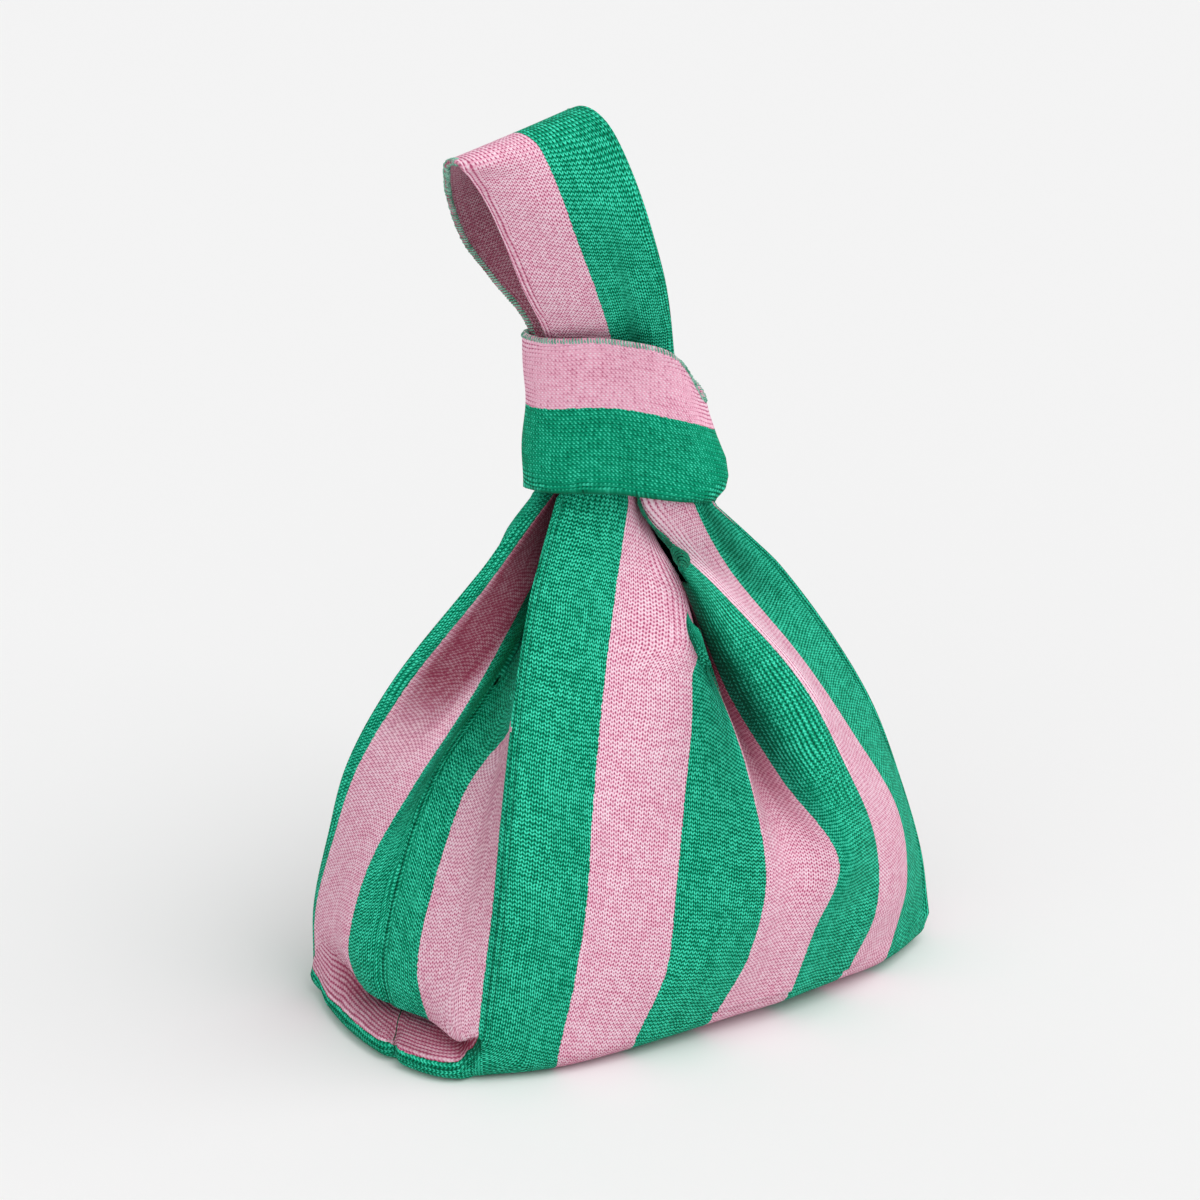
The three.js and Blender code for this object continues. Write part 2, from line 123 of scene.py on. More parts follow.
# ---- small helpers ----------------------------------------------------------------------------
def smooth(t):
    c = np.clip(t, 0, 1)
    return c * c * (3 - 2 * c)


def mix(a, b, t):
    return a + (b - a) * t


def bump(x, at, width):
    """A soft round ridge of height 1 at x = at."""
    return np.exp(-(((x - at) / width) ** 2))


def through(knots, values, at, corners=(), period=0.0):
    """A smooth curve through values at knots, at many places at once. values is (n, k), or (len(at), n, k)."""
    knots = np.asarray(knots, float)
    values = np.asarray(values, float)
    at = np.asarray(at, float)
    n = len(knots)
    if period:
        t = knots[0] + np.mod(at - knots[0], period)
        kn = np.concatenate([[knots[-1] - period], knots, [knots[0] + period, knots[1] + period]])
        vals = np.concatenate([values[..., -1:, :], values, values[..., :2, :]], axis=-2)
        i = np.clip(np.searchsorted(kn, t, side="right") - 1, 1, n)
        sharp = np.array([any(abs((k - c) / period - round((k - c) / period)) < 1e-9 for c in corners) for k in kn])
    else:
        t = at
        kn, vals = knots, values
        i = np.clip(np.searchsorted(kn, t, side="right") - 1, 0, n - 2)
        sharp = np.array([any(abs(k - c) < 1e-9 for c in corners) for k in kn])

    def value(j):
        if vals.ndim == 2:
            return vals[j]
        return vals[np.arange(len(t)), j]

    m = len(kn)

    def slope(j, side):
        a = np.where(sharp[j] & (side > 0), j, j - 1)
        b = np.where(sharp[j] & (side < 0), j, j + 1)
        a, b = np.clip(a, 0, m - 1), np.clip(b, 0, m - 1)
        return (value(b) - value(a)) / (kn[b] - kn[a])[:, None]

    h = (kn[i + 1] - kn[i])[:, None]
    s = np.clip((t - kn[i]) / h[:, 0], 0, 1)[:, None]
    p, q, mp, mq = value(i), value(i + 1), slope(i, 1), slope(i + 1, -1)
    s2, s3 = s * s, s * s * s
    return (2 * s3 - 3 * s2 + 1) * p + (s3 - 2 * s2 + s) * h * mp + (-2 * s3 + 3 * s2) * q + (s3 - s2) * h * mq


def noise(x, y, seed, octaves=3):
    """Soft even noise from a few seeded waves, about -1 to 1."""
    rng = np.random.default_rng(seed)
    out = np.zeros(np.broadcast(x, y).shape)
    for k in range(octaves):
        for _ in range(5):
            a, ph, f = rng.uniform(0, 2 * math.pi), rng.uniform(0, 2 * math.pi), rng.uniform(0.7, 1.4) * 2**k
            out += np.sin((x * math.cos(a) + y * math.sin(a)) * f + ph) / 5 / 1.6**k
    return out


# ---- the body's shape ---------------------------------------------------------------------------
def rib_lines(r):
    P = {k: np.array(v, float) for k, v in r.items() if isinstance(v, tuple)}
    seam = np.array([(P["rightCrease"][0] + P["backRight"][0]) / 2 - r["tuck"], (P["rightCrease"][1] + P["backRight"][1]) / 2])
    side = lambda crease: mix(seam, crease, 0.36) + np.array([3.0, 0])
    valley, roll = mix(P["c3"], P["c4"], 0.5), mix(P["c4"], P["c5"], 0.45)
    lines = [
        (0, P["frontCrease"]), (1, P["c1"]), (2, P["c2"]), (3, P["c3"]),
        (3.5, valley + np.array([0.35 * r["sink"], r["sink"]])), (4, P["c4"]),
        (4.5, roll - np.array([0.5 * r["roll"], r["roll"]])), (5, P["c5"]), (6, P["c6"]), (7, P["rightCrease"]),
        (8, side(P["rightCrease"])), (8.5, seam), (9, side(P["backRight"])), (10, P["backRight"]),
    ]
    for k, name in enumerate(("c6", "c5", "c4", "c3", "c2", "c1")):
        t = (k + 1) / 7
        chord_front = mix(P["rightCrease"], P["frontCrease"], t)
        chord_back = mix(P["backRight"], P["backCrease"], t)
        bulge = max(0.0, chord_front[1] - P[name][1])
        full = math.sin(math.pi * t) * (0.2 * min(40, r["z"] * 0.25) * float(smooth((200 - r["z"]) / 60)) + 5 * float(smooth((r["z"] - 150) / 50)))
        lines.append((11 + k, np.array([mix(P[name][0], chord_back[0], 0.55), chord_back[1] + 0.55 * bulge + full])))
    lines += [(16.8, P["backCrease"]), (17, P["backPink"]), (18, P["sidePinkBack"]), (18.5, P["sideSeam"]), (19, P["sidePinkFront"])]
    return sorted(lines, key=lambda l: l[0])


LINES = [rib_lines(r) for r in HEIGHTS]
KNOTS = [l[0] for l in LINES[0]]
RIM = np.array([l[1] for l in LINES[0]])
WALL_Z = [r["z"] for r in HEIGHTS[1:]]
WALL = np.array([[l[1] for l in lines] for lines in LINES[1:]])  # (height, knot, xy)


def rim_at(u):
    return through(KNOTS, RIM, u, CREASES, 20)


def wall_at(u, z):
    zc = np.clip(z, WALL_Z[0], WALL_Z[-1])
    flat = through(WALL_Z, WALL.reshape(len(WALL_Z), -1), zc)
    p = through(KNOTS, flat.reshape(len(zc), len(KNOTS), 2), u, CREASES, 20)
    s = (1 - PINCH * smooth((z - 204) / 9))[:, None]
    return NECK + (p - NECK) * s


def top_at(u):
    v = np.mod(u + 1.5, 20) - 1.5
    at = np.array([r[0] for r in TOP_EDGE] + [18.5001])
    z = np.array([r[1] for r in TOP_EDGE] + [206])
    i = np.clip(np.searchsorted(at, v, side="right") - 1, 0, len(TOP_EDGE) - 2)
    return mix(z[i], z[i + 1], smooth((v - at[i]) / (at[i + 1] - at[i])))


def is_side(u):
    v = np.mod(u, 20)
    return np.maximum(smooth((v - 16.9) / 0.5) * smooth((20 - v) / 0.5), smooth((v - 7) / 0.5) * smooth((10 - v) / 0.5))


def corner(u):
    """1 at the four corners of the base."""
    v = np.mod(u, 20)
    return np.max([bump(v, c, 0.35) for c in (0, 7, 10, 16.8, 20)], axis=0)


def tuck_z(u):
    """Where the sides' walls meet the ledge: higher in the left back and at the front left corner."""
    v = np.mod(u, 20)
    return TUCK_Z + 13.0 * smooth((v - 16.85) / 0.4) * smooth((18.0 - v) / 0.75) + CORNER_RISE * (smooth((v - 19.55) / 0.4) + smooth((0.8 - v) / 0.8))


def base_seam_y(x):
    return mix(-17, 2, (x + 119) / 243)


def body_raw(u, w, half):
    """The outer face of the body, for arrays of u and w."""
    rim = rim_at(u)
    seam_x, seam_y = rim[:, 0] * 0.88, base_seam_y(rim[:, 0]) + half * SEAM_GAP / 2
    side = is_side(u)
    v = np.mod(u, 20)
    lift = smooth((v - 1.0) / 2.5) * smooth((6.6 - v) / 1.6)
    inset, rim_z = mix(FRONT_INSET + 9 * lift, FLAT_INSET, side), mix(FRONT_RIM_Z + 4 * lift, RIM_Z, side)
    flat_x = rim[:, 0] * (1 - FLAT_INSET / 118)
    flat_y = mix(rim[:, 1], base_seam_y(rim[:, 0]), inset / 62)
    tz = tuck_z(u)
    foot = wall_at(u, tz)
    rim = mix(mix(rim, foot, 0.75), rim, np.maximum(side, corner(u))[:, None])
    out = np.zeros((len(u), 3))
    a = w <= 1
    out[a] = np.stack([mix(seam_x, flat_x, w), mix(seam_y, flat_y, w), 0 * w], -1)[a]
    a = (w > 1) & (w <= 2)
    g = np.clip(w - 1, 0, 1) * math.pi / 2
    out[a] = np.stack([mix(flat_x, rim[:, 0], np.sin(g)), mix(flat_y, rim[:, 1], np.sin(g)), rim_z * (1 - np.cos(g))], -1)[a]
    a = (w > 2) & (w <= 4)
    t = np.clip((w - 2) / 2, 0, 1)
    zs = np.where(w <= 3, mix(RIM_Z, RIM_TOP_Z, w - 2), mix(RIM_TOP_Z, tz, w - 3))
    z = mix(mix(rim_z, tz, t), zs, side)
    turn = mix(t, np.where(w <= 3, 0.1 * (w - 2), mix(0.1, 1, w - 3)), side)
    # towards the back the wall runs out into the ledge in one soft hollow
    g = t * math.pi / 2
    soft = smooth((v - 16.8) / 0.3) * smooth((18.4 - v) / 1.15)
    z = mix(z, rim_z + (tz - rim_z) * (1 - np.cos(g)), soft)
    turn = mix(turn, np.sin(g), soft)
    out[a] = np.concatenate([mix(rim, foot, turn[:, None]), z[:, None]], 1)[a]
    a = w > 4
    z = mix(tz, top_at(u), w - 4)
    if a.any():
        # near the neck the stripes slip round the folds: their edges lie out of sight
        v = np.mod(u[a], 20)
        slip = -0.16 * bump(v, 4.02, 0.22) * smooth((z[a] - 142) / 30)
        slip = slip + 0.46 * bump(v, 19.12, 0.48) * smooth((z[a] - 100) / 45)
        out[a] = np.concatenate([wall_at(u[a] + slip, z[a]), z[a][:, None]], 1)
        # the sides' walls belly out over the ledge that the base makes
        left = smooth((v - 17.5) / 0.8) * smooth((20.0 - v) / 0.55)
        right = smooth((v - 7.05) / 0.5) * smooth((9.95 - v) / 0.5)
        over = z[a] - tz[a]
        step = mix(14.0, 2.6, smooth((v - 17.6) / 0.6))
        belly = np.where(over > step + 1, bump(over, step + 1, 21), 1) * smooth(over / step)
        out[a, 0] += belly * (5.5 * right - 6.5 * left)
        out[a, 1] -= belly * 4.0 * left * smooth((v - 18.2) / 0.8)
        z = z[a]
        roll = bump(v, 16.35, 0.42) * (smooth((z - 172) / 26) * 7.5 + 5.5 * smooth((z - 178) / 16)) * smooth((217 - z) / 11)
        out[a, 0] -= roll
        out[a, 1] -= 0.1 * roll
    return out


def grooves(u, w):
    """How far the cloth stands back beside its creases and seams, in mm."""
    v = np.mod(u, 20)
    x = np.minimum(v, 20 - v) * STRIPE
    on = (w > 4) & (v < 10)
    deep = 0.5 * (bump(x, 1.1, 0.45) + 0.8 * bump(x, 3.6, 0.5)) * on * (v < 10)
    x7 = (7 - v) * STRIPE
    deep = deep + 0.45 * (bump(x7, 3.4, 0.5) + 0.8 * bump(x7, 5.2, 0.5)) * (w > 4)
    xs = (18.5 - v) * STRIPE
    deep = deep + 0.35 * (bump(xs, 2.0, 0.45) + 0.6 * bump(xs, 3.8, 0.45)) * (w > 3.2)
    pinch = bump(v, 18.5, 0.06) + bump(v, 8.5, 0.06)
    return deep + 2.6 * pinch * smooth((w - 1.1) / 0.3) * smooth((3.6 - w) / 0.3) + 0.7 * pinch * (w > 3.9)


def rib_strength(u, w, z, near):
    """Where the knit is drawn tight along its ribs, so that they stand apart. near is the distance in mm
    from the inner edge of the green border, which runs down the front left crease and along the rim."""
    v = np.mod(u, 20)
    on_rim = (v > 16.8) & (near < 30)
    r = mix(0.30, 0.50, on_rim) * smooth((6.5 - near) / 1.5) * (near > -0.5)
    r = np.maximum(r, 0.45 * smooth((v - 6.78) / 0.06) * smooth((7.1 - v) / 0.1))
    r = np.maximum(r, 0.30 * smooth((v - 16.15) / 0.2) * smooth((17.02 - v) / 0.04))
    r = np.maximum(r, 0.36 * smooth((v - 18.33) / 0.03) * smooth((18.62 - v) / 0.05))
    high = smooth((z - 128) / 45)
    r = np.maximum(r, 0.62 * high * smooth((v - 1.2) / 0.8) * smooth((4.2 - v) / 0.6))
    r = np.maximum(r, 0.52 * smooth((z - 60) / 50) * smooth((v - 4.05) / 0.12) * smooth((5.05 - v) / 0.1))
    p3 = 0.72 * smooth((z - 95) / 50) * smooth((v - 4.9) / 0.1) * smooth((5.8 - v) / 0.5)
    r = np.where((v > 5.0) & (v < 5.8) & (z > 100), 1.1 + np.maximum(r, p3), r)
    r = np.maximum(r, 0.36 * smooth((z - 180) / 25))
    gusset = ((v > 16.8) | ((v > 7) & (v < 10))) & (w > 1.1) & (w < 4.001)
    return np.where(gusset, 0.62 * (near < 0) + r * (near >= 0), r)


def painted_fold_shade(u, w, z, near):
    """Painted shade, 0 to 1 towards the dark shade colours and above 1 towards black: where cloth is folded close
    against cloth, in the grooves beside creases and seams, in the hollows of the neck, the side ledges and the valley
    beside the roll, and along the lower edge that rolls under the base.
    """
    v = np.mod(u, 20)
    c = 1.05 * (bump(near, 3.1, 0.42) + 0.7 * bump(near, 5.6, 0.42))
    seam = (v - 18.5) * STRIPE
    c = np.maximum(c, (0.85 - 0.35 * smooth((z - 90) / 40)) * bump(seam, 0, 0.5))
    x7 = (7 - v) * STRIPE
    c = c + 0.4 * (bump(x7, 3.4, 0.5) + 0.7 * bump(x7, 5.2, 0.5)) * (w > 4)
    gusset = smooth((v - 16.85) / 0.35) * smooth((19.55 - v) / 0.5)
    c = np.maximum(c, mix(1.08, 0.86, smooth((v - 18.0) / 0.4)) * smooth((z - 112 - 34 * smooth((v - 17.6) / 0.7)) / 34) * gusset)
    c = np.maximum(c, 0.25 * smooth((z - 40) / 50) * smooth((150 - z) / 30) * smooth((v - 19.2) / 0.5) * smooth((19.99 - v) / 0.02))
    c = np.maximum(c, 1.12 * smooth((z - 78) / 60) * bump(v, 4.12, 0.38))
    c = np.maximum(c, 0.75 * smooth((z - 150) / 30) * bump(v, 6.35, 0.30))
    c = np.maximum(c, 0.50 * smooth((z - 72) / 45) * smooth((v - 2.98) / 0.1) * smooth((4.1 - v) / 0.3))
    c = np.maximum(c, 1.22 * smooth((z - 134) / 14) * smooth((v - 2.96) / 0.08) * smooth((4.12 - v) / 0.1))
    c = np.maximum(c, 0.8 * smooth((z - 125) / 25) * smooth((v - 2.5) / 0.4) * smooth((4.25 - v) / 0.3))
    c = np.maximum(c, 0.8 * smooth((z - 176) / 22) * smooth((v - (2.2 - (z - 176) * 0.022)) / 0.4) * smooth((4.2 - v) / 0.3))
    c = np.where((v > 16.9) & (v < 18.3), c + 0.55 * smooth((z - 168) / 24) * smooth((v - 16.9) / 0.2), c)
    c = np.where((v > 3.2) & (v < 4.3), c + 0.35 * smooth((z - 130) / 30) * bump(v, 3.8, 0.35), c)
    # painted shade: the front darker towards the bottom, and most along the edge that rolls under the base
    front = smooth((v + 0.1) / 0.1) * smooth((7.2 - v) / 0.2)
    c = np.maximum(c, front * (0.10 * smooth((85 - z) / 75) + 0.30 * smooth((11 - z) / 8)))
    right = smooth((v - 7.3) / 0.6) * smooth((9.7 - v) / 0.6)
    c = np.maximum(c, 0.5 * smooth((z - 112) / 50) * right)
    ledge = ((v > 16.8) | ((v > 7) & (v < 10))) & (w > 2.6) & (w < 4.001)
    c = np.where(ledge, np.maximum(c, (0.15 + mix(0.65, 0.85, smooth((v - 19.2) / 0.4)) * smooth((w - 2.5) / 1.1)) * mix(0.3, 1, smooth((v - 17.15) / 0.7))), c)
    c = np.maximum(c, 0.28 * smooth((v - 17.0) / 0.3) * smooth((18.0 - v) / 0.3) * bump(z, 22, 9) * (w > 3.9))
    c = np.maximum(c, 0.75 * (bump(near, -1.7, 0.45) + 0.9 * bump(near, -3.7, 0.45) + 0.6 * bump(near, -5.8, 0.45)) * ledge)
    return c


def body(u, w, half):
    """The same with its creases rounded, as soft cloth folds."""
    shape = np.broadcast(u, w).shape
    uu, ww = np.broadcast_to(u, shape).ravel().astype(float), np.broadcast_to(w, shape).ravel().astype(float)
    out = 0
    for d, g in ((-0.05, 0.15), (-0.025, 0.22), (0, 0.26), (0.025, 0.22), (0.05, 0.15)):
        out = out + g * body_raw(uu + d, ww, half)
    return out.reshape(shape + (3,))


# ---- meshes ---------------------------------------------------------------------------------------
def make_object(name, points, quads, uv=None, material=None, smooth_faces=True, look=None):
    """points (n, 3) in mm of the tables' frame, quads (m, 4), uv (m, 4, 2)."""
    mesh = bpy.data.meshes.new(name)
    pts = (np.asarray(points, float) + SHIFT) / 1000
    quads = np.asarray(quads, np.int32)
    mesh.vertices.add(len(pts))
    mesh.vertices.foreach_set("co", pts.ravel())
    mesh.loops.add(quads.size)
    mesh.loops.foreach_set("vertex_index", quads.ravel())
    mesh.polygons.add(len(quads))
    mesh.polygons.foreach_set("loop_start", np.arange(0, quads.size, 4, dtype=np.int32))
    mesh.polygons.foreach_set("use_smooth", np.full(len(quads), smooth_faces))
    mesh.update(calc_edges=True)
    if uv is not None:
        layer = mesh.uv_layers.new(name="Knit")
        layer.data.foreach_set("uv", np.asarray(uv, np.float32).ravel())
        layer = mesh.uv_layers.new(name="Look")
        if look is not None:
            layer.data.foreach_set("uv", np.asarray(look, np.float32)[quads.ravel()].ravel())
    mesh.validate()
    obj = bpy.data.objects.new(name, mesh)
    bpy.context.collection.objects.link(obj)
    if material:
        mesh.materials.append(material)
    return obj


def grid_normals(P, wrap=False):
    if wrap:
        du = np.roll(P, -1, 0) - np.roll(P, 1, 0)
    else:
        du = np.gradient(P, axis=0)
    dw = np.gradient(P, axis=1)
    n = np.cross(du, dw)
    return n / np.maximum(np.linalg.norm(n, axis=-1, keepdims=True), 1e-9)


def cloth(name, P, uv, thick, material, wrap=False, alt=None, N=None, look=None, inner_look=None):
    """A closed sheet from its outer face P (columns, rows, 3), with rounded edges. uv (columns, rows, 2).
    alt is (mask of faces (columns-1, rows-1), second uv (columns, rows, 2))."""
    nu, nw = P.shape[:2]
    if N is None:
        N = grid_normals(P, wrap)
    inner = P - N * thick
    pts = [P.reshape(-1, 3), inner.reshape(-1, 3)]
    if look is None:
        look = np.zeros((nu, nw, 2))
    flat_look = look.reshape(-1, 2)
    looks = [flat_look, flat_look if inner_look is None else inner_look.reshape(-1, 2)]
    ids = np.arange(nu * nw).reshape(nu, nw)
    if wrap:
        ids = np.concatenate([ids, ids[:1]], 0)
        uvw = np.concatenate([uv, uv[:1] + np.array([0, 0.0])], 0)
        uvw[-1, :, 1] = 2 * uv[-1, :, 1] - uv[-2, :, 1]
    else:
        uvw = uv
    off = nu * nw
    flat_thick = np.broadcast_to(thick, (nu, nw, 1)).reshape(-1, 1)

    def quads_of(a):
        return np.stack([a[:-1, :-1], a[1:, :-1], a[1:, 1:], a[:-1, 1:]], -1)

    qo = quads_of(ids)
    uvo = np.stack([uvw[:-1, :-1], uvw[1:, :-1], uvw[1:, 1:], uvw[:-1, 1:]], -2)
    if alt is not None:
        mask, uv2 = alt
        alt_uv = np.stack([uv2[:-1, :-1], uv2[1:, :-1], uv2[1:, 1:], uv2[:-1, 1:]], -2)
        uvo = np.where(mask[:, :, None, None], alt_uv, uvo)
    quads = [qo.reshape(-1, 4), (qo + off)[..., ::-1].reshape(-1, 4)]
    uvs = [uvo.reshape(-1, 4, 2), uvo[..., ::-1, :].reshape(-1, 4, 2)]
    # the edges, with a rounded middle line
    count = 2 * off

    def edge(outer_ids, outward, uv_line, flip):
        nonlocal count
        o = np.asarray(outer_ids)
        allp = np.concatenate(pts)
        mid = (allp[o] + allp[o + off]) / 2 + outward * flat_thick[o] * 0.35
        pts.append(mid)
        looks.append(flat_look[o])
        m = np.arange(len(o)) + count
        count += len(o)
        for a, b in ((o, m), (m, o + off)):
            q = np.stack([a[:-1], b[:-1], b[1:], a[1:]], -1)
            t = np.stack([uv_line[:-1], uv_line[:-1], uv_line[1:], uv_line[1:]], -2)
            if flip:
                q, t = q[:, ::-1], t[:, ::-1]
            quads.append(q)
            uvs.append(t)

    def unit(v):
        return v / np.maximum(np.linalg.norm(v, axis=-1, keepdims=True), 1e-9)

    Pw = np.concatenate([P, P[:1]], 0) if wrap else P
    edge(ids[:, 0], unit(Pw[:, 0] - Pw[:, 1]), uvw[:, 0], False)
    edge(ids[:, -1], unit(Pw[:, -1] - Pw[:, -2]), uvw[:, -1], True)
    if not wrap:
        edge(ids[0, :], unit(P[0] - P[1]), uvw[0], True)
        edge(ids[-1, :], unit(P[-1] - P[-2]), uvw[-1], False)
    obj = make_object(name, np.concatenate(pts), np.concatenate(quads), np.concatenate(uvs), material, look=np.concatenate(looks))
    weld(obj)
    return obj


def weld(obj):
    """Joins the double points of a closed round and of the edges' corners."""
    import bmesh

    bm = bmesh.new()
    bm.from_mesh(obj.data)
    bmesh.ops.remove_doubles(bm, verts=bm.verts, dist=2e-6)
    holes = [e for e in bm.edges if e.is_boundary]
    if holes:
        bmesh.ops.holes_fill(bm, edges=holes, sides=8)
    bm.to_mesh(obj.data)
    bm.free()
    for p in obj.data.polygons:
        p.use_smooth = True


# ---- materials ------------------------------------------------------------------------------------
PINK = (0.91, 0.455, 0.605, 1)
PINK_LOW = (0.50, 0.09, 0.20, 1)
PINK_HIGH = (1.0, 0.76, 0.86, 1)
# the next three are painted shade: the colours that cloth in deep folds and hollows is tinted towards
PINK_PAINTED_SHADE = (0.25, 0.038, 0.074, 1)
PAINTED_SHADOW_BLACK = (0.012, 0.010, 0.010, 1)
GREEN_PAINTED_SHADE = (0.0004, 0.075, 0.036, 1)
GREEN = (0.001, 0.305, 0.158, 1)
GREEN_LOW = (0.0002, 0.09, 0.045, 1)
GREEN_HIGH = (0.070, 0.86, 0.57, 1)


class Nodes:
    """Short words for building a node tree."""

    def __init__(self, material):
        material.use_nodes = True
        self.tree = material.node_tree
        self.tree.nodes.clear()

    def add(self, kind, **settings):
        n = self.tree.nodes.new(kind)
        for k, v in settings.items():
            setattr(n, k, v)
        return n

    def link(self, a, b):
        self.tree.links.new(a, b)

    def math(self, op, a, b=None, c=None, clamp=False):
        n = self.add("ShaderNodeMath", operation=op, use_clamp=clamp)
        for k, v in enumerate((a, b, c)):
            if v is None:
                continue
            if isinstance(v, (int, float)):
                n.inputs[k].default_value = v
            else:
                self.link(v, n.inputs[k])
        return n.outputs[0]

    def mixc(self, fac, a, b):
        n = self.add("ShaderNodeMix", data_type="RGBA")
        for s, v in ((0, fac), (6, a), (7, b)):
            if isinstance(v, (int, float, tuple)):
                n.inputs[s].default_value = v
            else:
                self.link(v, n.inputs[s])
        return n.outputs[2]

    def mixf(self, fac, a, b):
        n = self.add("ShaderNodeMix", data_type="FLOAT")
        for s, v in ((0, fac), (2, a), (3, b)):
            if isinstance(v, (int, float)):
                n.inputs[s].default_value = v
            else:
                self.link(v, n.inputs[s])
        return n.outputs[0]

    def ramp(self, x, lo, hi):
        """0 below lo, 1 above hi, smooth between."""
        n = self.add("ShaderNodeMapRange", interpolation_type="SMOOTHSTEP")
        self.link(x, n.inputs["Value"])
        n.inputs["From Min"].default_value, n.inputs["From Max"].default_value = lo, hi
        return n.outputs["Result"]


def knit_material(name, slant=0.0, rib_width=RIB):
    """Jersey knit in two colours. The UV map Knit gives millimetres across the ribs, with green from 0 to 35
    and pink from 35 to 70 and on in turn, and millimetres along them. The UV map Look gives how far the ribs
    stand apart (0 to 1) and how much painted shade the cloth takes in folds and hollows (0 to 1 towards dark
    rose and dark green, 1 to 2 on towards black)."""
    mat = bpy.data.materials.new(name)
    N = Nodes(mat)
    uvn = N.add("ShaderNodeUVMap", uv_map="Knit")
    sep = N.add("ShaderNodeSeparateXYZ")
    N.link(uvn.outputs[0], sep.inputs[0])
    s, t = sep.outputs[0], sep.outputs[1]
    look = N.add("ShaderNodeUVMap", uv_map="Look")
    look_sep = N.add("ShaderNodeSeparateXYZ")
    N.link(look.outputs[0], look_sep.inputs[0])
    rib, painted_shade = look_sep.outputs[0], look_sep.outputs[1]
    wide = N.math("GREATER_THAN", rib, 1.05)  # gathered cloth shows one rib for two columns

    def field(scale, detail, x=1.0, y=1.0):
        n = N.add("ShaderNodeTexNoise", noise_dimensions="2D")
        n.inputs["Scale"].default_value = scale
        n.inputs["Detail"].default_value = detail
        m = N.add("ShaderNodeMapping")
        m.inputs["Scale"].default_value = (x, y, 1)
        N.link(uvn.outputs[0], m.inputs["Vector"])
        N.link(m.outputs[0], n.inputs["Vector"])
        return N.math("SUBTRACT", n.outputs[0], 0.5)

    wander, wander2 = field(0.05, 2), field(0.05, 3, 1.0, 0.6)
    cloud, patch, fuzz = field(0.05, 4), field(0.022, 2), field(1.7, 3)
    courses, wales = field(0.62, 1, 0.05, 1.0), field(0.55, 1, 1.0, 0.03)
    # columns: 0 in the middle of a column of stitches and 1 between two
    s_w = N.math("MULTIPLY_ADD", wander, 2.6, s)
    wale = N.math("DIVIDE", s_w, WALE)
    a = N.math("MULTIPLY", N.math("ABSOLUTE", N.math("SUBTRACT", N.math("FRACT", wale), 0.5)), 2)
    wale_id = N.math("FLOOR", wale)
    # rows of small v's
    t_w = N.math("MULTIPLY_ADD", wander2, 3.2, t)
    row = N.math("MULTIPLY_ADD", a, -0.52, N.math("DIVIDE", t_w, COURSE))
    row_id = N.math("FLOOR", row)
    wave = N.math("COSINE", N.math("MULTIPLY", row, 2 * math.pi))
    legs = N.math("MULTIPLY", N.math("COSINE", N.math("MULTIPLY", a, 2 * math.pi)), -1)  # 1 on a leg, -1 in the grooves
    cell = N.add("ShaderNodeCombineXYZ")
    N.link(wale_id, cell.inputs[0])
    N.link(row_id, cell.inputs[1])
    speck_n = N.add("ShaderNodeTexWhiteNoise", noise_dimensions="2D")
    N.link(cell.outputs[0], speck_n.inputs["Vector"])
    speck = N.math("SUBTRACT", speck_n.outputs[0], 0.5)
    # how much of rows and of columns shows changes slowly over the cloth
    rows_w = N.math("MULTIPLY_ADD", patch, 0.9, 0.62)
    cols_w = N.math("MULTIPLY_ADD", patch, -1.3, 0.34)
    tone = N.math("ADD", N.math("MULTIPLY", wave, rows_w), N.math("MULTIPLY", legs, cols_w))
    tone = N.math("MULTIPLY_ADD", N.math("MULTIPLY", wave, legs), 0.20, tone)
    # pink shows its gaps as separate dots, green as rows
    s_c = N.math("MULTIPLY_ADD", speck, 0.35, N.math("MULTIPLY_ADD", fuzz, 0.5, s))
    green = N.math("LESS_THAN", N.math("FRACT", N.math("DIVIDE", s_c, 2 * STRIPE)), 0.5)
    gap = N.math("MULTIPLY_ADD", wave, -0.5, 0.5)
    groove = N.math("MULTIPLY_ADD", legs, -0.5, 0.5)
    groove = N.math("MULTIPLY", groove, N.math("MULTIPLY_ADD", a, 0.50, 0.52))
    dots = N.math("MULTIPLY_ADD", N.math("MULTIPLY", gap, groove), -2.7, 0.55)
    dots = N.math("MULTIPLY_ADD", wave, 0.10, dots)
    tone = N.mixf(N.math("MULTIPLY_ADD", green, -0.40, 0.85), tone, dots)
    if slant:
        turn_a = N.math("MULTIPLY", wale, 2 * math.pi)
        turn_b = N.math("DIVIDE", t_w, COURSE / (2 * math.pi))
        lattice = N.math("ADD", N.math("MULTIPLY", N.math("COSINE", turn_a), 0.24), N.math("MULTIPLY", N.math("COSINE", turn_b), 0.20))
        lattice = N.math("MULTIPLY_ADD", N.math("COSINE", N.math("SUBTRACT", turn_a, turn_b)), 0.60, lattice)
        tone = N.mixf(slant, tone, lattice)
    tone = N.math("MULTIPLY_ADD", speck, 0.36 if slant else 0.50, tone)
    tone = N.math("MULTIPLY_ADD", fuzz, 0.50 if slant else 0.75, tone)
    tone = N.math("MULTIPLY_ADD", courses, 0.22, tone)
    tone = N.math("MULTIPLY_ADD", wales, 0.16, tone)
    tone = N.math("MULTIPLY_ADD", cloud, 0.25, tone)
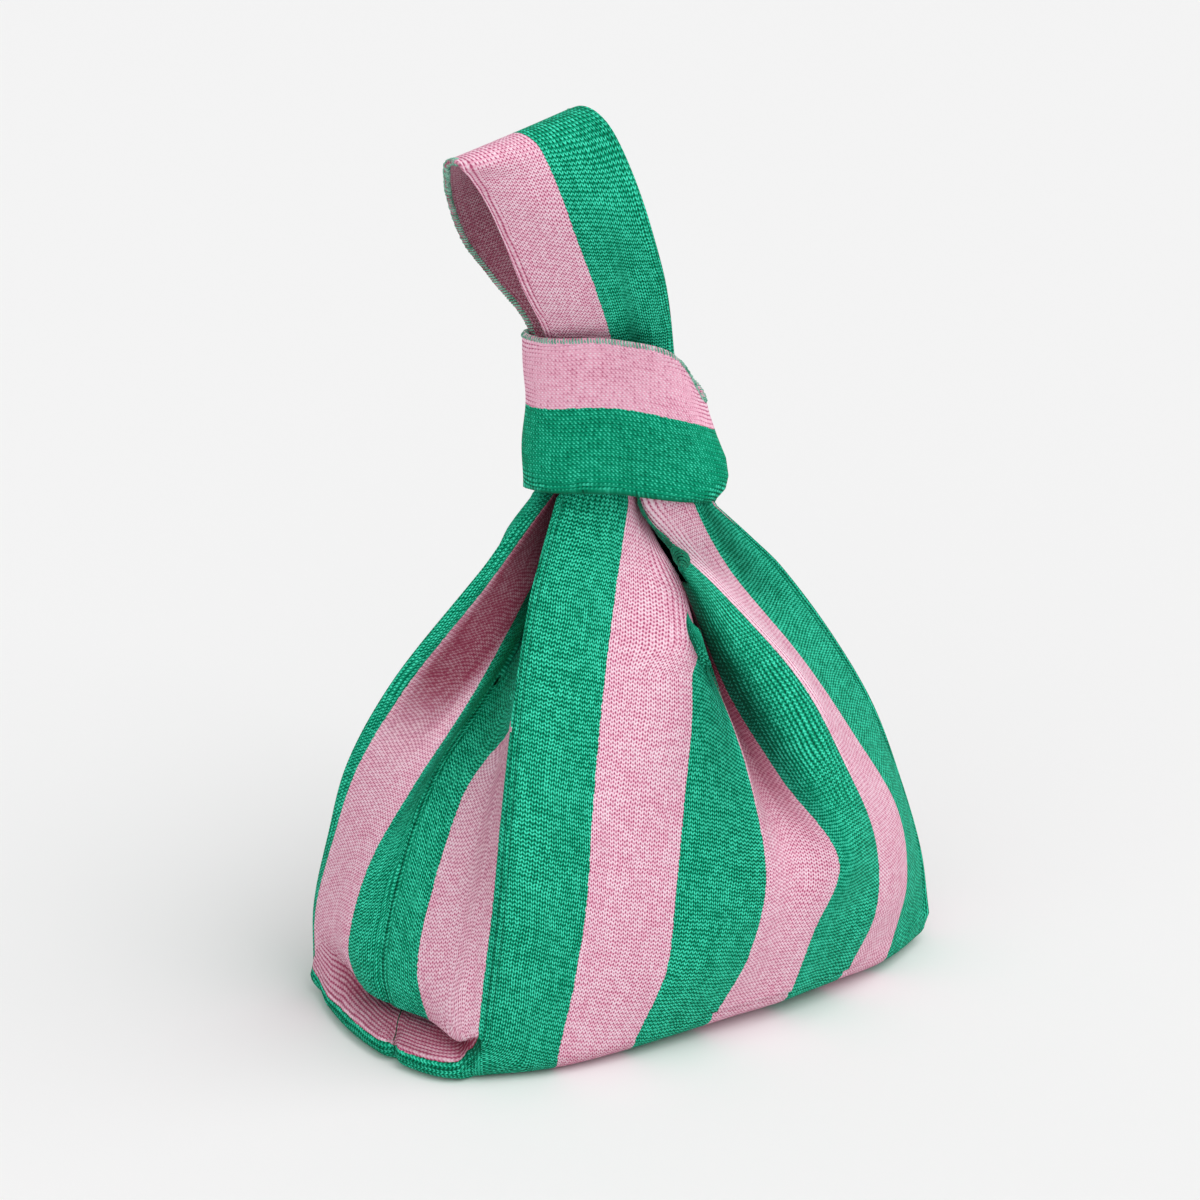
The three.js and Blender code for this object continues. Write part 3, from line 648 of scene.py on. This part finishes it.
    # where the ribs stand apart: a light rounded rib and a dark line between two
    across = N.math("MULTIPLY", N.math("ABSOLUTE", N.math("SUBTRACT", N.math("FRACT", N.math("DIVIDE", s_w, N.mixf(wide, rib_width, 3.5))), 0.5)), 2)
    rib_line = N.math("MULTIPLY", N.ramp(across, 0.50, 1.0), N.math("MULTIPLY_ADD", wave, -0.32, 0.80))
    rib_top = N.ramp(across, 0.60, 0.10)
    rib_tone = N.math("MULTIPLY_ADD", rib_line, -1.3 if slant else -1.6, N.math("MULTIPLY_ADD", rib_top, 0.5, 0.08))
    rib_tone = N.math("MULTIPLY_ADD", wide, 0.38, N.math("MULTIPLY_ADD", wave, 0.24, rib_tone))
    rib_tone = N.math("MULTIPLY_ADD", speck, 0.45, rib_tone)
    rib_tone = N.math("MULTIPLY_ADD", fuzz, 0.5, rib_tone)
    rib_mask = N.ramp(N.math("MULTIPLY_ADD", cloud, 0.7, N.math("MULTIPLY_ADD", wide, -1.1, rib)), 0.12, 0.75)
    tone = N.mixf(rib_mask, tone, rib_tone)
    low = N.ramp(tone, 0.02, -0.85)
    high = N.ramp(tone, 0.05, 0.85)
    pink = N.mixc(high, N.mixc(low, PINK, PINK_LOW), PINK_HIGH)
    grn = N.mixc(high, N.mixc(low, GREEN, GREEN_LOW), GREEN_HIGH)
    colour = N.mixc(green, pink, grn)
    # painted shade: cloth in folds and hollows is tinted towards dark rose and dark green, and past 1 towards black
    deep = N.mixc(N.math("MULTIPLY", high, 0.30), N.mixc(green, PINK_PAINTED_SHADE, GREEN_PAINTED_SHADE), colour)
    colour = N.mixc(N.math("MULTIPLY", painted_shade, 1.0, clamp=True), colour, deep)
    colour = N.mixc(N.math("SUBTRACT", painted_shade, 1.0, clamp=True), colour, PAINTED_SHADOW_BLACK)
    bump_n = N.add("ShaderNodeBump")
    bump_n.inputs["Strength"].default_value = 0.5
    bump_n.inputs["Distance"].default_value = 0.0004
    N.link(tone, bump_n.inputs["Height"])
    bsdf = N.add("ShaderNodeBsdfPrincipled")
    bsdf.inputs["Roughness"].default_value = 0.85
    bsdf.inputs["Specular IOR Level"].default_value = 0.06
    bsdf.inputs["Sheen Weight"].default_value = 0.02
    bsdf.inputs["Sheen Roughness"].default_value = 0.45
    bsdf.inputs["Sheen Tint"].default_value = (1, 1, 1, 1)
    N.link(colour, bsdf.inputs["Base Color"])
    N.link(bump_n.outputs[0], bsdf.inputs["Normal"])
    out = N.add("ShaderNodeOutputMaterial")
    N.link(bsdf.outputs[0], out.inputs[0])
    return mat


def thread_material(name, colour, dark):
    """Spun sewing yarn."""
    mat = bpy.data.materials.new(name)
    N = Nodes(mat)
    tc = N.add("ShaderNodeTexCoord")
    n = N.add("ShaderNodeTexNoise")
    n.inputs["Scale"].default_value = 2600
    n.inputs["Detail"].default_value = 2
    N.link(tc.outputs["Object"], n.inputs["Vector"])
    n2 = N.add("ShaderNodeTexNoise")
    n2.inputs["Scale"].default_value = 240
    N.link(tc.outputs["Object"], n2.inputs["Vector"])
    f = N.math("ADD", N.math("MULTIPLY", n.outputs[0], 0.6), N.math("MULTIPLY", n2.outputs[0], 0.4))
    c = N.mixc(N.ramp(f, 0.36, 0.62), dark, colour)
    b = N.add("ShaderNodeBump")
    b.inputs["Strength"].default_value = 0.4
    b.inputs["Distance"].default_value = 0.0002
    N.link(n.outputs[0], b.inputs["Height"])
    bsdf = N.add("ShaderNodeBsdfPrincipled")
    bsdf.inputs["Roughness"].default_value = 0.7
    bsdf.inputs["Specular IOR Level"].default_value = 0.2
    bsdf.inputs["Sheen Weight"].default_value = 0.05
    N.link(c, bsdf.inputs["Base Color"])
    N.link(b.outputs[0], bsdf.inputs["Normal"])
    out = N.add("ShaderNodeOutputMaterial")
    N.link(bsdf.outputs[0], out.inputs[0])
    return mat


knit_front = knit_material("knit_front")
knit_back = knit_material("knit_back")
knit_short = knit_material("knit_short_strap", 0.70, WALE)
knit_long = knit_material("knit_long_strap", 0.0, WALE)
edge_yarn = thread_material("edge_yarn", (0.36, 0.66, 0.53, 1), (0.02, 0.24, 0.14, 1))
edge_yarn_green = thread_material("edge_yarn_green", (0.012, 0.30, 0.165, 1), (0.001, 0.075, 0.037, 1))


# ---- the two panels ---------------------------------------------------------------------------------
def fold_thickness(u, w, z):
    """The sheet is thinner inside its sharp folds near the neck, where its two sides lie together."""
    v = np.mod(u, 20)
    near = np.min([abs(v - c) for c in (0, 7, 8.5, 10, 16.8, 18.5, 20)], axis=0)
    thin = np.clip(0.16 + near / 0.42, 0.16, 1)
    pleat = np.clip(0.2 + abs(v - 3.5) / 0.9, 0.2, 1)
    return CLOTH * np.minimum(mix(1, thin, smooth((z - 120) / 40)), mix(1, pleat, smooth((z - 150) / 20)))


def columns(first, last):
    """Places across a panel: about two millimetres apart, and closer beside creases and seams."""
    dense = [first, last] + [c for c in (0, 7, 10, 16.8) if first <= c <= last]
    us, u = [first], first
    while u < last:
        near = min(abs(u - d) for d in dense)
        u += mix(0.012, 0.044, float(smooth(near / 0.35)))
        us.append(u)
    us = np.array(us)
    return first + (us - first) * (last - first) / (us[-1] - first)


def panel(half, name, material):
    first, last = (-1.5, 8.5) if half < 0 else (8.5, 18.5)
    us = columns(first, last)
    ws = np.concatenate([
        np.linspace(0, 1, 8)[:-1], np.linspace(1, 2, 8)[:-1], np.linspace(2, 3, 10)[:-1], np.linspace(3, 4, 14)[:-1],
        4 + np.linspace(0, 1, 120) ** 1.0,
    ])
    U, W = np.meshgrid(us, ws, indexing="ij")
    # stand back from the seams by half the gap
    probe = np.linalg.norm(body(np.array([[first + 0.02], [last]]), ws[None], half) - body(np.array([[first], [last - 0.02]]), ws[None], half), axis=-1) / 0.02
    back = SEAM_GAP / 2 / np.maximum(probe, 8)
    U = U.copy()
    U[0] += back[0]
    U[-1] -= back[1]
    P = body(U, W, half)
    N = grid_normals(P)
    N[:, ws < 0.75] = (0, 0, -1)
    P = P - N * grooves(U, W)[..., None]
    # lengths along the ribs, and along the rim
    z_low = P[:, :, 2]
    t = np.concatenate([np.zeros((len(us), 1)), np.cumsum(np.linalg.norm(np.diff(P, axis=1), axis=-1), 1)], 1)
    j2 = int(np.argmin(abs(ws - 2.2)))
    along = np.concatenate([[0], np.cumsum(np.linalg.norm(np.diff(P[:, j2], axis=0), axis=-1))])
    s = U * STRIPE
    v20 = np.mod(U + 10, 20) - 10
    s = s + 2.0 * smooth((v20 + 0.22) / 0.14) * smooth((0.6 - v20) / 0.5)  # the green wraps round the crease
    s = s - 9 * smooth((z_low - 145) / 12) * smooth((v20 - 1.0) / 1.1) * smooth((3.7 - v20) / 1.2) * (W > 4)
    uv = np.stack([s, t], -1)
    # the sides' base: the outer crease's ribs turn the corner and run on along the rim
    u20 = np.mod(U, 20)
    edge_z = np.interp(np.mod(us - 3, 20) + 3, [7, 7.2, 8.5, 9.8, 10, 16.8, 17.0, 17.2, 17.4, 17.8, 18.3, 19.3, 19.6, 19.8, 19.9, 19.95, 20],
                       [12, 7.5, 7.5, 7.5, 12, 12, 10.0, 7.2, 5.6, 6.0, 7.6, 8.4, 10, 13.5, 17, 20.5, 20.5])
    L = t - t[:, [int(np.argmin(abs(ws - 1)))]]
    Le = np.zeros(len(us))
    for i in range(len(us)):
        k = np.argmax((z_low[i] > edge_z[i]) & (ws > 1))
        f = (edge_z[i] - z_low[i, k - 1]) / max(z_low[i, k] - z_low[i, k - 1], 1e-6)
        Le[i] = mix(L[i, k - 1], L[i, k], f)
    s2 = Le[:, None] - L
    right = (u20 > 6.99) & (u20 < 10.01)
    s2 = np.where(right, 7 * STRIPE - s2, s2)
    uv2 = np.stack([s2, np.broadcast_to(along[:, None], s2.shape)], -1)
    # the front left side stripe runs out in a tip at the crease
    q = np.interp(z_low, [98, 108, 116, 123, 129, 135], [19, 19.06, 19.14, 19.3, 19.62, 20.02])
    tip = s + (19 - q) * STRIPE * (1 - smooth((v20 + 0.2) / 0.14))
    tip = np.clip(np.where(z_low > 135, np.minimum(tip, -35.5), tip), -69.5, None)
    uv2 = np.where(((W > 4) & (z_low > 60))[..., None], np.stack([tip, t], -1), uv2)
    um = np.mod((us[1:] + us[:-1]) / 2, 20)
    wm = (ws[1:] + ws[:-1]) / 2
    gusset = ((um > 7) & (um < 10)) | (um > 16.8)
    zm = (P[1:, 1:, 2] + P[:-1, :-1, 2]) / 2
    corner_face = (um > 19.3)[:, None] & (zm < 20.5)
    mask = gusset[:, None] & (((wm > 1) & (wm < 4))[None] | (corner_face & (wm > 1)[None]))
    mask |= (um > 18.98)[:, None] & (zm > 98)
    below = np.clip(float(tuck_z(np.zeros(1))[0]) + 1.5 - z_low, 0, None)
    near = np.where(u20 < 10, np.hypot(u20 * STRIPE + 2, below), 99.0)
    on_rim = (u20 > 16.8) & (W > 1) & ((W < 4.001) | ((u20 > 19.3) & (z_low < 20.5)))
    near = np.where(on_rim, s2, near)
    turn = 1 - smooth((u20 - 0.35) / 0.4)
    uv[..., 0] = np.where(u20 < 1, mix(s, s - u20 * STRIPE + np.hypot(u20 * STRIPE, below), turn), s)
    look = np.stack([rib_strength(U, W, z_low, near), painted_fold_shade(U, W, z_low, near)], -1)
    obj = cloth(name, P, uv, fold_thickness(U, W, P[..., 2])[..., None], material, alt=(mask, uv2), N=N, look=look)
    return obj, P, us, ws


front, P_front, us_f, ws_f = panel(-1, "front_panel_cloth", knit_front)
back, P_back, us_b, ws_b = panel(1, "back_panel_cloth", knit_back)

# ---- the collar ---------------------------------------------------------------------------------------
def collar_points(a, h):
    c = COLLAR
    r = through(np.arange(len(c)), np.array(c, float), a.ravel(), (), len(c))
    along, out, bottom, top, lean, split = (r[:, k].reshape(a.shape) for k in range(6))
    g = math.radians(COLLAR_TURN)
    z = mix(bottom, top, h)
    full = 1 + 0.035 * np.sin(math.pi * np.clip(1 - h, 0, 1) * 0.9)
    # a rounded lower hem, soft dents in the front and the swelling right fold
    front = bump(a, 2.2, 1.5)
    hem = 1.1 * bump(z - bottom, 4.0, 3.0) - 1.6 * bump(z - bottom, -0.5, 1.8) + 0.5 * bump(top - z, 2.0, 1.5)
    dent = front * (0.9 * noise(a * 1.3, z / 17, 4) + 1.0 * bump(z - 236 - 16 * (a - 2.6), 0, 7) - 0.9 * bump(z - 224 - 14 * (a - 2.9), 0, 6))
    near = bump(a, 4.0, 0.75)
    swell = near * np.interp(z, [k[0] for k in COLLAR_FOLD], [k[1] for k in COLLAR_FOLD])
    left = bump(a, 0, 0.7) + bump(a, 8, 0.7)
    al = along + lean * (0.5 - (z - 206) / 62) + swell + left * (1.2 * bump(z, 242, 10) - 0.6 * bump(z, 222, 9))
    o = out * full + np.where(out < 0, -1, 1) * np.minimum(1, abs(out) / 6) * (hem + dent)
    return np.stack([NECK[0] + al * math.cos(g) - o * math.sin(g), NECK[1] + al * math.sin(g) + o * math.cos(g), z], -1), split


def collar():
    na, nh = 320, 76
    A, H = np.meshgrid(np.arange(na) / na * len(COLLAR), np.linspace(0, 1, nh), indexing="ij")
    P, split = collar_points(A, H)
    N = grid_normals(P, wrap=True)
    around = np.concatenate([[0], np.cumsum(np.linalg.norm(np.diff(P[:, nh // 2], axis=0), axis=-1))])
    s = np.clip((split - P[..., 2]) * 1.05, -34.2, 34.2)
    uv = np.stack([s, np.broadcast_to(around[:, None], s.shape)], -1)
    ends = np.maximum(bump(A, 0, 0.8) + bump(A, 8, 0.8), 0.9 * bump(A, 3.95, 0.75))
    z, top = P[..., 2], P[:, -1:, 2]
    rib = np.clip(0.06 + 0.42 * ends + 0.36 * bump(z - P[:, :1, 2], 3, 4) + 0.2 * bump(top - z, 3, 4), 0, 1)
    # painted shade: darker along the hem's bottom where the collar sits on the body, with two thin darker lines just
    # above it; the inside face takes an even painted shade
    painted_shade = 0.30 * bump(z - P[:, :1, 2], 5.2, 0.6) + 0.15 * bump(z - P[:, :1, 2], 7.4, 0.5) + 0.5 * smooth((3.2 - (z - P[:, :1, 2])) / 3)
    look = np.stack([rib, painted_shade], -1)
    inner = np.stack([rib, 0 * painted_shade + 0.55], -1)
    obj = cloth("short_loop_cloth", P, uv, STRAP_CLOTH, knit_short, wrap=True, N=N, look=look, inner_look=inner)
    return obj, P, N


short, P_short, N_short = collar()

# ---- the carrying loop ------------------------------------------------------------------------------------
def loop_points(t, v):
    rows = np.array([list(l) + list(r) + [b] for l, r, b in LOOP], float)
    r = through(np.arange(len(rows)), rows, (t * (len(rows) - 1)).ravel())
    left, right, bow = r[:, :3].reshape(t.shape + (3,)), r[:, 3:6].reshape(t.shape + (3,)), r[:, 6].reshape(t.shape)
    p = left + (right - left) * v[..., None]
    arch = 4 * v * (1 - v) * bow
    d = (right - left)[..., :2]
    d = d / np.linalg.norm(d, axis=-1, keepdims=True)
    sgn = np.where(t < 0.5, -1, 1)
    fade = smooth(abs(t - 0.5) / 0.12)
    arch = arch - 1.3 * (bump(v * 66, 0, 2.2) + bump((1 - v) * 66, 0, 2.2))
    arch = arch - (2.0 * bump(v, 0.70 + 0.25 * (t - 0.1), 0.07) - 0.9 * bump(v, 0.84, 0.07)) * smooth((0.26 - t) / 0.14)
    arch = arch + 0.5 * noise(v * 5, t * 16, 11) * smooth((0.45 - t) / 0.1)
    return p + np.stack([-sgn * d[..., 1] * arch * fade, sgn * d[..., 0] * arch * fade, 0 * arch], -1)


def long_loop():
    nt, nv = 340, 96
    T, V = np.meshgrid(np.linspace(0, 1, nt), np.linspace(0, 1, nv), indexing="ij")
    P = loop_points(T, V)
    N = grid_normals(P)
    mid = nv // 2
    along = np.concatenate([[0], np.cumsum(np.linalg.norm(np.diff(P[:, mid], axis=0), axis=-1))])
    s = (V - 0.5 - 0.05 * smooth((0.22 - T) / 0.2)) * 66.0
    uv = np.stack([s, np.broadcast_to(along[:, None], s.shape)], -1)
    edge_l, edge_r = V * 66, (1 - V) * 66
    rib = np.maximum(0.9 * smooth((5.5 - edge_l) / 2), 0.6 * smooth((3.5 - edge_r) / 2))
    rib = np.clip(0.7 * np.maximum(rib, 0.60 * bump(T, 0.46, 0.075)) + 0.1, 0, 1)
    # painted shade: thin darker lines beside the edges of one face, and an even painted shade, deeper towards the two
    # feet, over the other face
    painted_shade = 0.34 * bump(edge_l, 2.6, 0.45) + 0.20 * bump(edge_l, 4.3, 0.45) + 0.20 * bump(edge_r, 2.6, 0.45)
    inner_painted_shade = 0.58 + 0.22 * smooth(abs(T - 0.5) / 0.3)
    obj = cloth("long_loop_cloth", P, uv, STRAP_CLOTH, knit_long, N=N, look=np.stack([rib * 0.5, inner_painted_shade], -1), inner_look=np.stack([rib, painted_shade], -1))
    return obj, P, N


long, P_long, N_long = long_loop()


# ---- edge yarn ---------------------------------------------------------------------------------------------
def edge_wrap(name, line, side, normal, material, pitch=1.2, across=1.05, deep=1.2, thread=0.40, inset=0.75, lift=0.0, swell=None, rough=0.12, seed=1):
    """Overlock yarn wound round an edge. line (n, 3), side points off the cloth, normal off its face."""
    d = np.concatenate([[0], np.cumsum(np.linalg.norm(np.diff(line, axis=0), axis=1))])
    turns = max(4, int(d[-1] / pitch))
    per = 11
    q = np.linspace(0, d[-1], turns * per + 1)
    at = lambda a: np.stack([np.interp(q, d, a[:, k]) for k in range(3)], -1)
    c, sd, nm = at(line), at(side), at(normal)
    rng = np.random.default_rng(seed)
    g = np.linspace(0, 2 * math.pi * turns, len(q))
    size = 1 + rough * np.interp(g, np.arange(turns + 2) * 2 * math.pi, rng.uniform(-1, 1, turns + 2))
    if swell is not None:
        size = size * np.interp(q, d, swell)
    centre = c - sd * across * inset + nm * lift
    p = centre + sd * (np.cos(g) * across * size)[:, None] + nm * (np.sin(g) * deep * size)[:, None]
    tang = np.gradient(p, axis=0)
    tang /= np.linalg.norm(tang, axis=1, keepdims=True)
    ref = np.gradient(c, axis=0)
    ref /= np.linalg.norm(ref, axis=1, keepdims=True)
    e1 = np.cross(tang, ref)
    e1 /= np.linalg.norm(e1, axis=1, keepdims=True)
    e2 = np.cross(tang, e1)
    ring = 6
    ang = np.arange(ring) / ring * 2 * math.pi
    pts = p[:, None] + thread * (np.cos(ang)[None, :, None] * e1[:, None] + np.sin(ang)[None, :, None] * e2[:, None])
    n = len(p)
    ids = np.arange(n * ring).reshape(n, ring)
    nxt = np.roll(ids, -1, 1)
    quads = np.stack([ids[:-1], ids[1:], nxt[1:], nxt[:-1]], -1).reshape(-1, 4)
    caps = []
    verts = pts.reshape(-1, 3)
    for row, flip in ((ids[0], False), (ids[-1], True)):
        for k in (0, 2):
            quad = [row[0], row[(1 + k) % ring], row[(2 + k) % ring], row[(3 + k) % ring]] if k == 0 else [row[0], row[3], row[4], row[5]]
            caps.append(quad[::-1] if flip else quad)
    quads = np.concatenate([quads, np.array(caps)])
    return make_object(name, verts, quads, None, material)


def unit(v):
    return v / np.maximum(np.linalg.norm(v, axis=-1, keepdims=True), 1e-9)


k = np.r_[0:P_short.shape[0], 0]
top_line = P_short[k, -1] - N_short[k, -1] * STRAP_CLOTH / 2
collar_edge = edge_wrap("short_loop_edge_yarn", top_line, unit(P_short[k, -1] - P_short[k, -3]), N_short[k, -1], edge_yarn, pitch=1.15, across=0.85, deep=1.15, thread=0.36, inset=0.6, rough=0.30, seed=3)
edges = [collar_edge]
for side_name, col, nxt in (("left", 0, 2), ("right", -1, -3)):
    part = slice(int(len(P_long) * (0.455 if side_name == "left" else 0.56)), None)
    line = (P_long[:, col] - N_long[:, col] * (STRAP_CLOTH * 0.5))[part]
    edges.append(edge_wrap("long_loop_%s_edge_yarn" % side_name, line, unit(P_long[:, col] - P_long[:, nxt])[part], N_long[part, col], edge_yarn, across=0.9, deep=1.2, thread=0.36, inset=0.6, rough=0.25, seed=5))

# neckline, front and back
for obj_name, P, us, half in (("front_panel_neckline_yarn", P_front, us_f, -1), ("back_panel_neckline_yarn", P_back, us_b, 1)):
    lo, hi = (4.42, 5.3) if half < 0 else (12.0, 15.0)
    pick = np.where((us > lo) & (us < hi))[0]
    N = grid_normals(P)
    line = P[pick, -1] - N[pick, -1] * CLOTH / 2
    swell = 1 + (0.9 * bump(us[pick], 4.80, 0.16) - 0.15 if half < 0 else 0 * us[pick])
    edges.append(edge_wrap(obj_name, line, unit(P[pick, -1] - P[pick, -2]), N[pick, -1], edge_yarn_green, pitch=1.25, across=1.7, deep=1.3, thread=0.45, inset=0.1, rough=0.30, lift=1.3 if half < 0 else 0.0, swell=swell, seed=9))

# ---- bodies and nodes -------------------------------------------------------------------------------------
for piece, node, slot in ((front, "front_panel", "front_knit"), (back, "back_panel", "back_knit"), (short, "short_loop", "short_strap_knit"), (long, "long_loop", "long_strap_knit")):
    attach(piece, "root")
    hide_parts(node)
for e, slot in zip(edges, ("short_strap_knit", "long_strap_knit", "long_strap_knit", "front_knit", "back_knit")):
    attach(e, "root")

# ---- floor, light, camera ----------------------------------------------------------------------------------
def stage_floor():
    mesh = bpy.data.meshes.new("floor")
    r = 6.0
    mesh.from_pydata([(-r, -r, 0), (r, -r, 0), (r, r, 0), (-r, r, 0)], [], [(0, 1, 2, 3)])
    obj = bpy.data.objects.new("floor", mesh)
    bpy.context.collection.objects.link(obj)
    mat = bpy.data.materials.new("floor_paper")
    N = Nodes(mat)
    bsdf = N.add("ShaderNodeBsdfPrincipled")
    bsdf.inputs["Base Color"].default_value = (0.90, 0.90, 0.90, 1)
    bsdf.inputs["Roughness"].default_value = 0.9
    bsdf.inputs["Specular IOR Level"].default_value = 0.1
    out = N.add("ShaderNodeOutputMaterial")
    N.link(bsdf.outputs[0], out.inputs[0])
    mesh.materials.append(mat)
    return obj


stage_floor()

scene = bpy.context.scene
world = bpy.data.worlds.new("studio")
scene.world = world
world.use_nodes = True
bg = world.node_tree.nodes["Background"]
bg.inputs[0].default_value = (1, 1, 1, 1)
bg.inputs[1].default_value = 0.45


def sun_light(name, towards, angle, strength):
    light = bpy.data.lights.new(name, "SUN")
    light.energy = strength
    light.angle = math.radians(angle)
    obj = bpy.data.objects.new(name, light)
    bpy.context.collection.objects.link(obj)
    from mathutils import Vector

    obj.rotation_euler = (-Vector(towards)).to_track_quat("-Z", "Y").to_euler()
    return obj


sun_light("key", (0.42, -0.55, 1.00), 60, 1.50)
sun_light("fill", (-0.72, -0.66, 0.98), 80, 0.74)

scene.view_settings.view_transform = "Standard"
scene.view_settings.look = "None"

from mathutils import Matrix, Vector

AZ, EL, DIST = math.radians(-36.0), math.radians(22.8), 1.460
TARGET = Vector((-0.0116, -0.0023, 0.1641)) + Vector(SHIFT / 1000)
direction = Vector((math.sin(AZ) * math.cos(EL), -math.cos(AZ) * math.cos(EL), math.sin(EL)))
camera = bpy.data.cameras.new("camera")
camera.sensor_width = 36
camera.lens = 113.31
camera.clip_end = 50
cam = bpy.data.objects.new("camera", camera)
bpy.context.collection.objects.link(cam)
cam.location = TARGET + direction * DIST
cam.rotation_euler = (-direction).to_track_quat("-Z", "Y").to_euler()
scene.camera = cam
